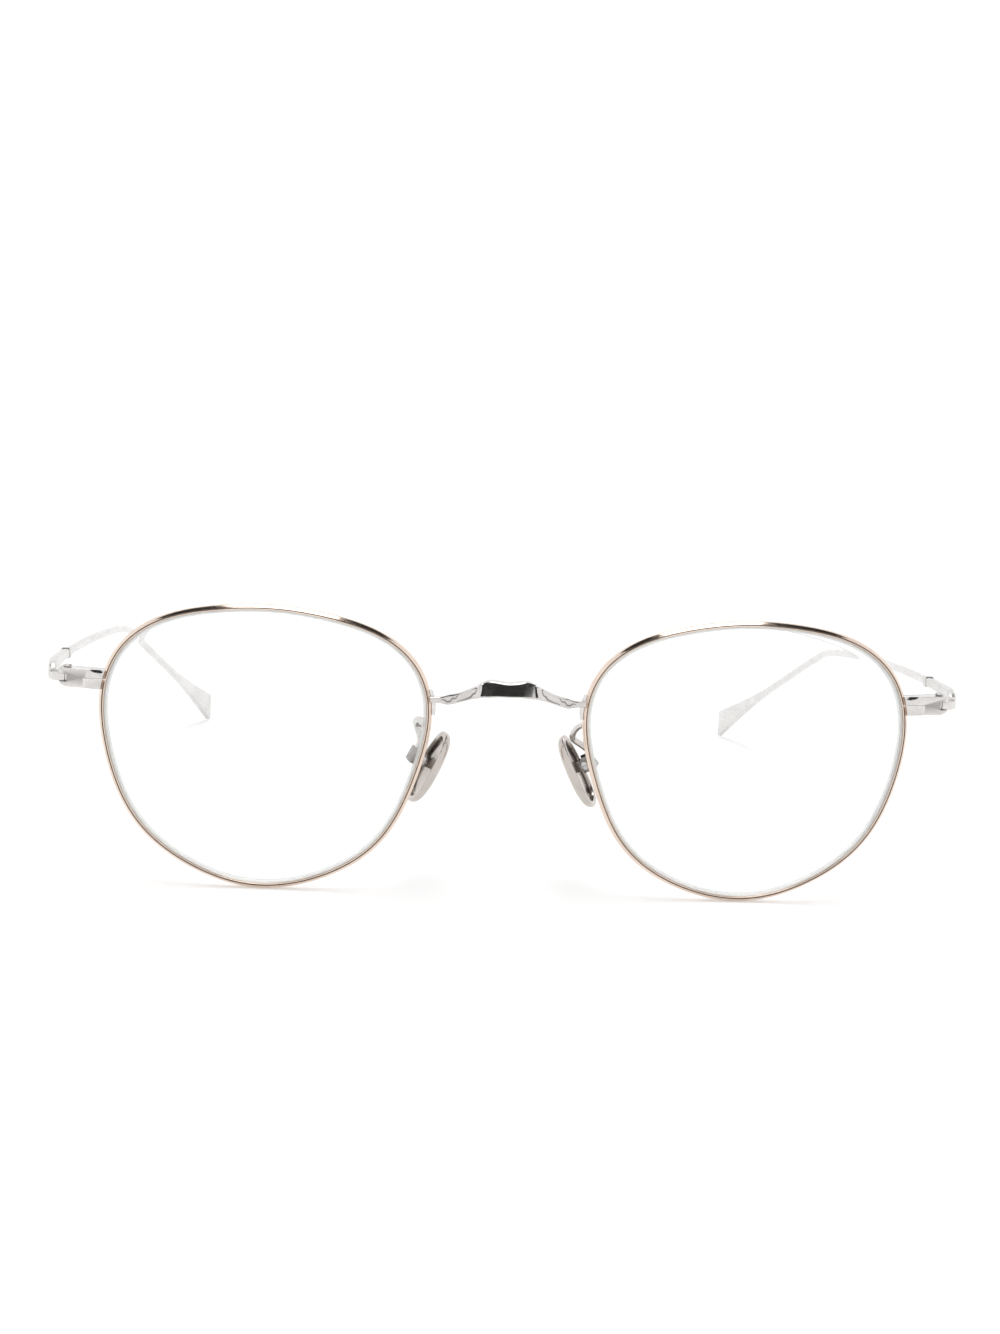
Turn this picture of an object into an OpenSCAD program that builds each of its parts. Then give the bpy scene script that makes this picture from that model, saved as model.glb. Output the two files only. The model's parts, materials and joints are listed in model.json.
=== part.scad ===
// Metal eyeglasses: two wire rims with clear lenses, a saddle bridge, rim locks with hinges,
// slim folding temples with flared ends, and rocking metal nose pads on bent wire arms.
// Millimetres. +X is the viewer's right, the front faces -Y, the temples run to +Y, +Z is up.
// The frame stands on the two rim bottoms and the two temple ends, all at z = 0.

/* [Rims and lenses] */
// Width of one rim over its outside edge
rim_width = 49.6; // [48:0.2:50.4]
// Height of one rim over its outside edge
rim_height = 42.9; // [41.5:0.1:44.5]
// Distance from the middle of the frame to the middle of a rim
rim_half_spacing = 36; // [35.8:0.1:36.4]
// Width of the rim wire seen from the front
rim_wire_width = 0.9; // [0.85:0.05:1.1]
// Front-to-back size of the rim wire
rim_wire_depth = 1.9; // [1.7:0.05:2.2]
// Turn of each rim back towards the temple, degrees
face_wrap = 2; // [0:0.5:4]
// Radius of the ball the lens front lies on
lens_radius = 115; // [100:5:180]
// Thickness of the lens
lens_thickness = 1.5; // [1.2:0.1:1.8]

/* [Bridge] */
// Height of the bridge saddle at its middle
bridge_height = 2.1; // [1.6:0.1:2.5]
// Front-to-back size of the bridge saddle at its middle
bridge_depth = 2.2; // [1.6:0.1:2.6]
// How far the bridge middle stands in front of the rims
bridge_bow = 1.8; // [1:0.1:2.4]

/* [End pieces and hinges] */
// Distance from the middle of the frame to a hinge screw
hinge_half_spacing = 65.3; // [65.1:0.1:65.8]
// Height of the hinge middle above the ground
hinge_z = 30.7; // [30:0.1:31.4]
// Height of an end piece
end_height = 2.9; // [2.6:0.1:3.2]
// Height of the hinge tongue on the temple
tongue_height = 1.1; // [0.9:0.05:1.3]
// Radius of the hinge screw shank
screw_radius = 0.4; // [0.3:0.05:0.45]
// Radial clearance between a screw shank and its bore
running_fit = 0.05; // [0.03:0.01:0.08]

/* [Temples] */
// Front-to-back reach of a temple behind the hinge screw
temple_reach = 138; // [136:0.5:141]
// Height of the slim temple bar
bar_height = 1.15; // [1:0.05:1.4]
// Thickness of the slim temple bar
bar_thickness = 1.2; // [1:0.05:1.4]
// Height of the flared temple end
flare_height = 5.4; // [4.6:0.2:7]
// Distance behind the hinge where the temple starts to bend down
bend_start = 87; // [80:1:90]
// How far the temple end stands in from the straight part
toe_in = 11.6; // [9:0.2:13]

/* [Nose pads] */
// Length of a nose pad
pad_length = 11.8; // [11:0.2:13]
// Width of a nose pad
pad_width = 7; // [6:0.2:8]
// Thickness of a nose pad at its middle
pad_thickness = 1.8; // [1.5:0.1:2]
// Lean of a nose pad away from upright, degrees
pad_lean = 27; // [22:1:30]
// Opening of the nose pads towards the face, degrees
pad_splay = 13; // [8:1:20]
// Diameter of the pad arm wire
arm_wire = 1; // [0.8:0.05:1.1]

/* [Hidden] */
$fn = 48;

// Distance from the lens front at its middle to the middle of the whole object
to_middle = -71.3;
// Steps round a rim
RIM_STEPS = 108;

// Rim outline, seen from the front with angle 0 pointing to the temple: a round panto shape,
// fuller towards the upper outer corner. The radius is a short wave series.
function panto(t) = 23.2 + 0.13 * cos(t) + 1.05 * sin(t)
  + 1.4 * cos(2 * t) + 0.19 * sin(2 * t) + 1.2 * sin(3 * t)
  - 0.46 * cos(4 * t) - 0.09 * sin(4 * t) + 0.15 * sin(5 * t)
  - 0.23 * cos(6 * t) - 0.07 * sin(6 * t);
plain_x = [for (t = [0:1:359]) panto(t) * cos(t)];
plain_z = [for (t = [0:1:359]) panto(t) * sin(t)];
stretch_x = rim_width / (max(plain_x) - min(plain_x));
stretch_z = rim_height / (max(plain_z) - min(plain_z));
mid_x = (max(plain_x) + min(plain_x)) / 2;
function outline(t) = [stretch_x * (panto(t) * cos(t) - mid_x), stretch_z * panto(t) * sin(t)];
function turn_right(v) = [v[1], -v[0]] / norm(v);
function outline_normal(t) = turn_right(outline(t + 0.5) - outline(t - 0.5));
function outline_at(t, n) = outline(t) + n * outline_normal(t);

// A point of the curved front: across, up, and depth behind the lens front, on the lens ball
function on_ball(p, d) =
  let (h = sqrt(lens_radius * lens_radius - p[0] * p[0] - p[1] * p[1]),
       s = (lens_radius - d) / lens_radius)
  [p[0] * s, lens_radius - h * s, p[1] * s];

wire_front = -0.2;
wire_back = wire_front + rim_wire_depth;
wire_mid = (wire_front + wire_back) / 2;
// The rim bottom: the lowest points of the front bevel and the back edge
rim_bottom = [for (t = [240:0.5:300], q = [[0, 0.64], [0, rim_wire_depth - 0.4]])
  on_ball(outline_at(t, q[0]), wire_front + q[1])];
rim_z = -min([for (p = rim_bottom) p[2]]);
hinge_rise = hinge_z - rim_z;

// End piece and hinge, measured from the hinge screw: front, back and outer faces
hinge_y = 4.9;
end_front = -1.65;
end_back = 1.15;
end_outer = 1.2;
slot_gap = 0.15;
split_gap = 0.12;
tongue_round = 1.15;
tongue_room = tongue_round + 0.2;

// Temple centre line, by distance behind the hinge screw: it leaves the hinge outwards, rises a
// little, runs back nearly straight, then bends down and in
arm_offset = 3.6;
arm_length = 18;
arm_rise = 1;
straight_x = hinge_half_spacing - 0.2;
toe_start = 96;
bend_length = 16;
bend_slope = 0.272;
flare_length = 22;
function past(a, start) = max(0, a - start);
function bent(a) = past(a, bend_start) < bend_length
  ? pow(past(a, bend_start), 2) / (2 * bend_length)
  : past(a, bend_start) - bend_length / 2;
function bar_x(a) = straight_x - 1.1 * pow(max(0, 1 - a / 14), 1.2)
  + arm_offset * pow(max(0, 1 - past(a, 6) / 54), 1.5)
  - toe_in * pow(past(a, toe_start) / (temple_reach - toe_start), 1.2);
function bar_z(a) = hinge_z + arm_rise * (1 - exp(-a / 4)) - 0.0011 * pow(past(a, 16), 2)
  - bend_slope * bent(a);
function bar_tall(a) = bar_height
  + (flare_height - bar_height) * pow(past(a, temple_reach - flare_length) / flare_length, 1.7);

// The frame leans back a little until the temple ends reach the ground with the rims
rim_low_y = on_ball(outline(270), wire_front + 0.64)[1];
tip_low = bar_z(temple_reach) - bar_tall(temple_reach) / 2;
recline = atan2(tip_low, hinge_y + temple_reach - rim_low_y);
lift = -min([for (p = rim_bottom) (p[2] + rim_z) * cos(recline) - p[1] * sin(recline)]);

// Pad mount
pad_place = [11, 8.4, 17.9];
pivot_rise = 0.7;
box_axis = 2.1;
lug_half = 0.6;
cheek_gap = 0.3;
cheek = 0.45;

// A closed skin over rings of points. Each ring is a list of points in the same order.
module skin(rings, loop = false) {
  n = len(rings[0]);
  m = len(rings);
  sides = [for (i = [0:(loop ? m - 1 : m - 2)], j = [0:n - 1])
    let (a = i * n + j, b = i * n + (j + 1) % n, c = ((i + 1) % m) * n + j,
         d = ((i + 1) % m) * n + (j + 1) % n)
    each [[a, c, b], [b, c, d]]];
  first = [for (j = [1:n - 2]) [0, j, j + 1]];
  last = [for (j = [1:n - 2]) [(m - 1) * n, (m - 1) * n + j + 1, (m - 1) * n + j]];
  polyhedron(points = [for (r = rings) each r], faces = loop ? sides : concat(sides, first, last),
    convexity = 8);
}

// A round wire along a list of points
module wire(path, radius, points = 12) {
  last = len(path) - 1;
  rings = [for (i = [0:last])
    let (u = wire_side(path, i), v = cross(wire_along(path, i), u))
    [for (k = [0:points - 1]) path[i] + radius * (cos(360 * k / points) * u
      + sin(360 * k / points) * v)]];
  skin(rings);
}
function wire_along(path, i) =
  let (d = path[min(i + 1, len(path) - 1)] - path[max(i - 1, 0)]) d / norm(d);
// A side direction carried along the wire without twisting
function wire_side(path, i) =
  let (t = wire_along(path, i), u = i == 0 ? [0.3, -0.2, 0.93] : wire_side(path, i - 1),
       v = u - (u * t) * t)
  v / norm(v);
function curve(p, t) = pow(1 - t, 3) * p[0] + 3 * pow(1 - t, 2) * t * p[1]
  + 3 * (1 - t) * t * t * p[2] + t * t * t * p[3];

// Moves a part from the lens-front datum to the part frame
module placed() translate([0, to_middle, lift]) rotate([-recline, 0, 0]) children();
// Moves a rim-shaped part to its place on the right
module on_rim() placed() translate([rim_half_spacing, 0, rim_z]) rotate([0, 0, face_wrap])
  children();
// Moves a hinge part to the right hinge screw
module on_hinge() placed() translate([hinge_half_spacing, hinge_y, hinge_z]) children();
// Moves a pad part to the right nose pad: local X leads away from the nose, local Z up the pad
module on_pad() placed() translate(pad_place) rotate([0, -pad_lean, 0])
  rotate([0, 0, -pad_splay]) children();
module left() mirror([1, 0, 0]) children();

// The rim wire: a narrow front lip, a crowned bevel outside it, a flat back and a groove for the
// lens edge, split at the rim lock
module rim_solid() {
  w = rim_wire_width;
  f = wire_front;
  b = wire_back;
  m = wire_mid;
  section = [[-w + 0.38, m], [-w, m - 0.36], [-w, f + 0.1], [-w + 0.08, f], [-0.7, f],
    [-0.62, f + 0.02], [-0.41, f + 0.16], [-0.16, f + 0.4], [0, f + 0.64],
    [0, b - 0.4], [-0.08, b - 0.1], [-0.25, b], [-w + 0.12, b], [-w, b - 0.12], [-w, m + 0.36]];
  split = atan2(hinge_rise, outline(21)[0]);
  half = 0.11 + split_gap;
  rings = [for (i = [0:RIM_STEPS])
    let (t = split + half + i * (360 - 2 * half) / RIM_STEPS)
    [for (q = section) on_ball(outline_at(t, q[0]), q[1])]];
  skin(rings);
}

// A straight prism in the shape of the rim outside, used to trim parts that meet the rim
module rim_prism(grow) {
  rotate([90, 0, 0]) translate([0, 0, -12]) linear_extrude(24)
    polygon([for (i = [0:RIM_STEPS - 1]) outline_at(i * 360 / RIM_STEPS, grow)]);
}

// The lens: a curved clear disc with a bevel that sits in the rim groove
module lens_solid() {
  inset = rim_wire_width + 0.06;
  tip = rim_wire_width - 0.3;
  front = wire_mid - lens_thickness / 2;
  back = wire_mid + lens_thickness / 2;
  spans = [0.02, 0.25, 0.5, 0.75, 0.92];
  function edge(i, n) = outline_at(i * 360 / RIM_STEPS, -n);
  function ring(s, n, d) = [for (i = [0:RIM_STEPS - 1]) on_ball(s * edge(i, n), d)];
  rings = concat([for (s = spans) ring(s, inset, front)],
    [ring(1, inset, front), ring(1, inset, wire_mid - 0.3), ring(1, tip, wire_mid),
     ring(1, inset, wire_mid + 0.3), ring(1, inset, back)],
    [for (k = [len(spans) - 1:-1:0]) ring(spans[k], inset, back)]);
  skin([for (k = [len(rings) - 1:-1:0]) rings[k]]);
}

// The end piece seen from the front: a small block with its lower outer corner cut off
module end_front_shape(inner) {
  h = end_height / 2;
  polygon([[inner, -h - 0.3], [end_outer - 1.1, -h + 0.12], [end_outer, -h + 1],
    [end_outer, h - 0.2], [end_outer - 0.2, h], [inner, h - 0.3]]);
}
// The end piece seen from above
module end_plan_shape(inner) {
  polygon([[inner, end_front - 0.15], [-3, end_front], [end_outer - 0.2, end_front],
    [end_outer, end_front + 0.2], [end_outer, end_back], [-1.2, end_back],
    [-2.4, end_back - 0.2], [inner, end_back - 0.6]]);
}
module end_block(inner) {
  h = end_height;
  intersection() {
    rotate([90, 0, 0]) translate([0, 0, -6]) linear_extrude(12) end_front_shape(inner);
    translate([0, 0, -h]) linear_extrude(2 * h) end_plan_shape(inner);
  }
}
closing_x = -3.8;
closing_y = -0.65;
block_end = -2.4;
head_seat = -1.2;
module end_piece_solid() {
  slot = tongue_height / 2 + slot_gap;
  difference() {
    on_hinge() difference() {
      end_block(-6.8);
      // room for the closing block under the split line
      translate([-8, -4, -4]) cube([8 + block_end + 0.08, 8, 4 + split_gap / 2]);
      // slot for the hinge tongue, open to the outside and the back
      translate([0, 0, -slot]) cylinder(r = tongue_room, h = 2 * slot);
      translate([-0.05, -4, -slot]) cube([4, 8, 2 * slot]);
      translate([-1.9, 0, -slot]) cube([4, 4, 2 * slot]);
      // hinge screw bore and closing screw bore
      translate([0, 0, -4]) cylinder(r = screw_radius + running_fit, h = 8);
      translate([closing_x, closing_y, -4]) cylinder(r = screw_radius + running_fit, h = 4.9);
    }
    on_rim() rim_prism(0.13);
  }
}
module closing_block_solid() {
  difference() {
    on_hinge() intersection() {
      end_block(-6.8);
      difference() {
        translate([-8, -4, -4]) cube([8 + block_end, 8, 4 - split_gap / 2]);
        translate([closing_x, closing_y, -5]) cylinder(r = screw_radius + running_fit, h = 6);
        // seat of the closing screw head
        translate([closing_x, closing_y, head_seat - 4]) cylinder(r = 0.75, h = 4);
      }
    }
    on_rim() rim_prism(0.13);
  }
}
// A slotted screw standing on its head underside, head up
module screw(head_radius, head, length) {
  difference() {
    union() {
      cylinder(r = head_radius, h = head - 0.1);
      translate([0, 0, head - 0.1]) cylinder(r1 = head_radius, r2 = head_radius - 0.1, h = 0.1);
      translate([0, 0, -length]) cylinder(r = screw_radius, h = length + 0.01);
    }
    translate([-2, -0.1, head - 0.18]) cube([4, 0.2, 1]);
  }
}
module closing_screw_solid() {
  on_hinge() translate([closing_x, closing_y, head_seat - 0.02]) rotate([180, 0, 0])
    screw(0.65, 0.3, 1.9);
}
module hinge_screw_solid() {
  on_hinge() translate([0, 0, end_height / 2 + 0.02]) rotate([0, 0, 35])
    screw(0.65, 0.3, end_height);
}

// A bar section with cut corners, upright, its middle at the bar centre line
function bar_ring(x, y, z, thick, tall, cut) =
  let (t = thick / 2, h = tall / 2)
  [[x - t + cut, y, z - h], [x + t - cut, y, z - h], [x + t, y, z - h + cut],
   [x + t, y, z + h - cut], [x + t - cut, y, z + h], [x - t + cut, y, z + h],
   [x - t, y, z + h - cut], [x - t, y, z - h + cut]];

// The hinge section of the temple: tongue, arm and the step where the slim bar begins
module hinge_arm_solid() {
  start = end_back + 0.12;
  // distance behind the screw, height, thickness
  stations = [[start, 1.5, 1.1], [start + 1, 2.1, 1.25], [start + 2.5, 2.2, 1.3],
    [start + 5, 1.95, 1.3], [start + 8, 1.65, 1.3], [start + 11, 1.45, 1.3],
    [arm_length - 1.6, 1.4, 1.3], [arm_length - 1.5, 1.7, 1.5], [arm_length - 0.6, 1.7, 1.5],
    [arm_length - 0.5, 1.4, 1.3], [arm_length, 1.3, 1.25]];
  rings = [for (s = stations)
    bar_ring(bar_x(s[0]), hinge_y + s[0], bar_z(s[0]), s[2], s[1], 0.22)];
  difference() {
    union() {
      placed() skin([for (k = [len(rings) - 1:-1:0]) rings[k]]);
      on_hinge() translate([0, 0, -tongue_height / 2]) {
        cylinder(r = tongue_round, h = tongue_height);
        linear_extrude(tongue_height) polygon([[0.3, -1.4], [1.5, -1.3], [2.3, -0.6],
          [2.8, 0.6], [2.95, 2.4], [2.1, 2.6], [0.9, 0.8], [0.3, 0.9]]);
      }
    }
    on_hinge() translate([0, 0, -3]) cylinder(r = screw_radius + running_fit, h = 6);
  }
}
// The slim bar: bends down and in, and flares into a flat fishtail end
module temple_solid() {
  steps = concat([arm_length + 0.03], [for (a = [20:4:72]) a], [for (a = [75:2.5:110]) a],
    [for (k = [0:10]) temple_reach - flare_length + k * flare_length / 10]);
  rings = [for (a = steps)
    bar_ring(bar_x(a), hinge_y + a, bar_z(a), bar_thickness, bar_tall(a), 0.26)];
  placed() skin([for (k = [len(rings) - 1:-1:0]) rings[k]]);
}

// Bridge: a sculpted saddle, thick in the middle and slim at the rims, with a foot on each rim
function swell(x, width) = exp(-pow(x / width, 2));
function ease(x, start, end) =
  let (k = max(0, min(1, (x - start) / (end - start)))) (1 + cos(180 * k)) / 2;
module bridge_solid() {
  points = 20;
  reach = 12.4;
  function half_tall(x) = 0.45 + 0.3 * ease(abs(x), 8.6, 10.4)
    + (bridge_height / 2 - 0.75) * ease(abs(x), 2.4, 7.5) + 0.12 * swell(abs(x) - 2.8, 1.1)
    - 0.06 * swell(x, 1.2);
  function half_deep(x) = 0.6 + (bridge_depth / 2 - 0.6) * ease(abs(x), 2, 9.5);
  function mid_z(x) = rim_z + 8.05 + 2.05 * ease(abs(x), 2, 10) - 0.1 * swell(x, 1.3);
  function mid_y(x) = 2.35 - bridge_bow * pow(cos(min(90, abs(x) * 7.4)), 1.4);
  xs = [for (k = [-24:24]) reach * k / 24];
  difference() {
    placed() skin([for (x = xs) [for (k = [0:points - 1])
      let (a = 360 * k / points, c = cos(a), s = sin(a))
      [x, mid_y(x) + half_deep(x) * sign(c) * pow(abs(c), 0.8),
       mid_z(x) + half_tall(x) * sign(s) * pow(abs(s), 0.8)]]]);
    on_rim() rim_prism(0.13);
    left() on_rim() rim_prism(0.13);
  }
  for (side = [0, 1]) mirror([side, 0, 0]) on_rim() foot();
}
// The foot of the bridge: a thin plate along the nose side of the rim
module foot() {
  rings = [for (i = [0:8])
    let (t = 158.5 + i * 1.05, g = 0.13 + 0.32 * sin(180 * (0.12 + 0.76 * i / 8)))
    [for (q = [[0.13, 0.15], [g + 0.1, 0.3], [g + 0.1, 1.3], [0.13, 1.45]])
      on_ball(outline_at(t, q[0]), q[1])]];
  skin(rings);
}

// Pad arm: a wire loop from the back of the rim to the pad box. The two arms are bent by hand:
// the left one loops outwards, the right one towards the nose.
box_back = 4;
box_top = pivot_rise + 1.15;
arm_end = [13.39, 7.6, 20.92];
outward_loop = [[12.1, 3.68, 25.3], [12.6, 5.8, 25.7], [13.7, 7.2, 25.9], [13.5, 8.3, 24.8],
  [13.3, 9.2, 23.9], [12.4, 8.4, 22.6]];
inward_loop = [[11.8, 3.68, 25.9], [11.3, 5.4, 25.9], [10.3, 6.4, 24.9], [10.3, 7.2, 23.7],
  [10.3, 7.9, 22.7], [11.8, 8.3, 22.6]];
module pad_arm_solid(loop) {
  first = [loop[0], loop[1], loop[2], loop[3]];
  second = [loop[3], loop[4], loop[5], arm_end];
  difference() {
    placed() wire(concat([for (k = [0:7]) curve(first, k / 8)],
      [for (k = [0:9]) curve(second, k / 9)]), arm_wire / 2);
    // the end is cut flush with the top of the pad box
    on_pad() translate([0, -2, -2]) cube([6, 4, 2 + box_top + 0.02]);
  }
}
box_half = lug_half + cheek_gap + cheek;
// Pad box: a small fork that holds the lug of the pad
module pad_box_solid() {
  on_pad() difference() {
    translate([1.55, -box_half, pivot_rise - 1.15]) cube([box_back - 1.55, 2 * box_half, 2.3]);
    translate([0, -lug_half - cheek_gap, -2]) cube([3.15, 2 * (lug_half + cheek_gap), 5]);
    translate([box_axis, 3, pivot_rise]) rotate([90, 0, 0])
      cylinder(r = screw_radius + running_fit, h = 6);
  }
}
module pad_screw_solid() {
  on_pad() translate([box_axis, -box_half - 0.02, pivot_rise]) rotate([90, 0, 0])
    screw(0.7, 0.3, 2 * box_half);
}
// Nose pad: a rounded plate with blunt ends, a raised lip round its outer side, and a lug
module nose_pad_solid() {
  points = 28;
  l = pad_length / 2;
  w = pad_width / 2;
  h = pad_thickness / 2;
  function blunt(v) = sign(v) * pow(abs(v), 0.82);
  function ring(s, x) = [for (k = [0:points - 1])
    let (a = 360 * k / points, flat = 1 - 0.12 * sin(a))
    [x, s * w * flat * blunt(cos(a)), s * l * blunt(sin(a))]];
  profile = [[0.08, -1], [0.4, -0.94], [0.74, -0.72], [0.9, -0.4], [0.985, 0.15], [1, 0.5],
    [1, 0.78], [0.96, 0.99], [0.91, 0.96], [0.87, 0.45], [0.8, 0.28], [0.08, 0.25]];
  on_pad() difference() {
    union() {
      skin([for (p = profile) ring(p[0], p[1] * h)]);
      translate([0.25 * h - 0.1, -lug_half, pivot_rise - 0.8])
        cube([box_axis - 0.25 * h + 0.1, 2 * lug_half, 1.6]);
      translate([box_axis, lug_half, pivot_rise]) rotate([90, 0, 0])
        cylinder(r = 0.8, h = 2 * lug_half);
    }
    translate([box_axis, 3, pivot_rise]) rotate([90, 0, 0])
      cylinder(r = screw_radius + running_fit, h = 6);
  }
}

silver = [0.8, 0.8, 0.81];
rose = [0.87, 0.76, 0.68];
steel = [0.62, 0.62, 0.64];
satin = [0.66, 0.63, 0.6];
clear = [0.9, 0.93, 0.95, 0.35];

module bridge() color(silver) bridge_solid();
module right_rim() color(rose) on_rim() rim_solid();
module left_rim() color(rose) left() on_rim() rim_solid();
module right_lens() color(clear) on_rim() lens_solid();
module left_lens() color(clear) left() on_rim() lens_solid();
module right_end_piece() color(silver) end_piece_solid();
module left_end_piece() color(silver) left() end_piece_solid();
module right_closing_block() color(silver) closing_block_solid();
module left_closing_block() color(silver) left() closing_block_solid();
module right_closing_screw() color(steel) closing_screw_solid();
module left_closing_screw() color(steel) left() closing_screw_solid();
module right_hinge_screw() color(steel) hinge_screw_solid();
module left_hinge_screw() color(steel) left() hinge_screw_solid();
module right_hinge_arm() color(silver) hinge_arm_solid();
module left_hinge_arm() color(silver) left() hinge_arm_solid();
module right_temple() color(silver) temple_solid();
module left_temple() color(silver) left() temple_solid();
module right_pad_arm() color(silver) pad_arm_solid(inward_loop);
module left_pad_arm() color(silver) left() pad_arm_solid(outward_loop);
module right_pad_box() color(silver) pad_box_solid();
module left_pad_box() color(silver) left() pad_box_solid();
module right_pad_screw() color(steel) pad_screw_solid();
module left_pad_screw() color(steel) left() pad_screw_solid();
module right_nose_pad() color(satin) nose_pad_solid();
module left_nose_pad() color(satin) left() nose_pad_solid();

bridge();
left_rim();
left_lens();
left_end_piece();
left_closing_block();
left_closing_screw();
left_hinge_screw();
left_hinge_arm();
left_temple();
left_pad_arm();
left_pad_box();
left_pad_screw();
left_nose_pad();
right_rim();
right_lens();
right_end_piece();
right_closing_block();
right_closing_screw();
right_hinge_screw();
right_hinge_arm();
right_temple();
right_pad_arm();
right_pad_box();
right_pad_screw();
right_nose_pad();
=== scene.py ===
"""Metal eyeglasses on a pale studio floor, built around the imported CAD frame."""

import json
import math

import bmesh
import bpy
from mathutils import Matrix, Vector


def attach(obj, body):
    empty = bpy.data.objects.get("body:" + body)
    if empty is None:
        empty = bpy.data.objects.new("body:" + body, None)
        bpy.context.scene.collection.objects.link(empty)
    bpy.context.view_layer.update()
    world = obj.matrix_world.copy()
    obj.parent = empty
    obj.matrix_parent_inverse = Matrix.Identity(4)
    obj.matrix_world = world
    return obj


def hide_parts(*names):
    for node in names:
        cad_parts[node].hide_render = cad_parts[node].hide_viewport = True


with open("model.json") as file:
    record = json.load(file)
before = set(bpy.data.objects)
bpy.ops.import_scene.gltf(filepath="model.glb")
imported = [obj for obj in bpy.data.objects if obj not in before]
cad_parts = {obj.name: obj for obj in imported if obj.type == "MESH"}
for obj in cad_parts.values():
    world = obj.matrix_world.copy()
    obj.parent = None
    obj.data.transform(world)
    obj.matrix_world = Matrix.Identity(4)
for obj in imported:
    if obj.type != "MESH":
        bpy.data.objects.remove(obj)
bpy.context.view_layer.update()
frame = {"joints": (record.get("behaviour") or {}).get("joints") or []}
scene = bpy.context.scene

# ---------------------------------------------------------------------------------------------
# Sizes of the frame, in millimetres. X is the viewer's right, Y runs from the lens front to the
# temple ends, Z is up. Every piece is drawn on the right side; the left side mirrors it.
# ---------------------------------------------------------------------------------------------
MM = 0.001
RIM_WIDTH = 49.6
RIM_HEIGHT = 42.9
RIM_SPACING = 36.0
FACE_WRAP = 2.0
BALL_RADIUS = 115.0
WIRE = 0.9
WIRE_FRONT = -0.2
WIRE_BACK = 1.7
WIRE_MID = (WIRE_FRONT + WIRE_BACK) / 2
LIP_RADIUS = 0.07
LINE_DEPTH = 0.17
BEVEL_WIDTH = 0.59
BEVEL_DEPTH = 0.64
BEVEL_CROWN = 0.055
LENS_THICKNESS = 1.5
HINGE = Vector((65.3, 4.9, 30.7))
END_HEIGHT = 2.9
END_OUTER = 1.2
END_FRONT = -1.65
END_BACK = 1.15
END_INNER = -6.8
BLOCK_END = -2.4
SPLIT_GAP = 0.12
CLOSING = (-3.8, -0.65)
HEAD_SEAT = -1.2
SLOT_HALF = 0.6
TONGUE_HEIGHT = 1.1
BORE = 0.45
SHANK = 0.4
HEAD_RADIUS = 0.65
HEAD_HEIGHT = 0.3
REACH = 138.0
ARM_LENGTH = 18.0
BAR_TALL = 1.15
BAR_THICK = 1.2
FLARE_TALL = 5.4
FLARE_LENGTH = 22.0
PAD_PLACE = Vector((11, 8.4, 17.9))
PAD_LEAN = 27.0
PAD_SPLAY = 13.0
PAD_HALF_LENGTH = 5.9
PAD_HALF_WIDTH = 3.5
PAD_HALF_THICK = 0.9
PIVOT_RISE = 0.7
PIVOT_X = 2.1
LUG_HALF = 0.6
PAD_HEAD_RADIUS = 0.7
BOX_HALF = 1.35
BOX_BACK = 4.0
BOX_TOP = 1.85

SIDES = (("right", 1), ("left", -1))


def sin(degrees):
    return math.sin(math.radians(degrees))


def cos(degrees):
    return math.cos(math.radians(degrees))


def mix(a, b, share):
    return a + (b - a) * share


def past(a, start):
    return max(0.0, a - start)


# ---------------------------------------------------------------------------------------------
# The rim outline: a round panto shape, with angle 0 pointing to the temple
# ---------------------------------------------------------------------------------------------
WAVES = ((0.13, 1.05), (1.4, 0.19), (0.0, 1.2), (-0.46, -0.09), (0.0, 0.15), (-0.23, -0.07))


def panto(t):
    radius = 23.2
    for k, (even, odd) in enumerate(WAVES, start=1):
        radius += even * cos(k * t) + odd * sin(k * t)
    return radius


PLAIN_X = [panto(t) * cos(t) for t in range(360)]
PLAIN_Z = [panto(t) * sin(t) for t in range(360)]
STRETCH_X = RIM_WIDTH / (max(PLAIN_X) - min(PLAIN_X))
STRETCH_Z = RIM_HEIGHT / (max(PLAIN_Z) - min(PLAIN_Z))
MID_X = (max(PLAIN_X) + min(PLAIN_X)) / 2


def outline(t):
    return Vector((STRETCH_X * (panto(t) * cos(t) - MID_X), STRETCH_Z * panto(t) * sin(t)))


def outline_at(t, outwards):
    along = (outline(t + 0.5) - outline(t - 0.5)).normalized()
    return outline(t) + outwards * Vector((along.y, -along.x))


def on_ball(p, depth):
    """A point of the curved front: across, up, and depth behind the lens front."""
    rise = math.sqrt(BALL_RADIUS ** 2 - p.x ** 2 - p.y ** 2)
    s = (BALL_RADIUS - depth) / BALL_RADIUS
    return Vector((p.x * s, BALL_RADIUS - rise * s, p.y * s))


def rim_point(t, outwards, depth):
    return on_ball(outline_at(t, outwards), depth)


# The two edges of the wire that can touch the ground
LOW_EDGES = ((0, WIRE_FRONT + BEVEL_DEPTH), (0, WIRE_BACK - 0.4))
RIM_Z = -min(rim_point(240 + k / 2, n, d).z for k in range(121) for n, d in LOW_EDGES)
HINGE_RISE = HINGE.z - RIM_Z
SPLIT = math.degrees(math.atan2(HINGE_RISE, outline(21).x))

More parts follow.
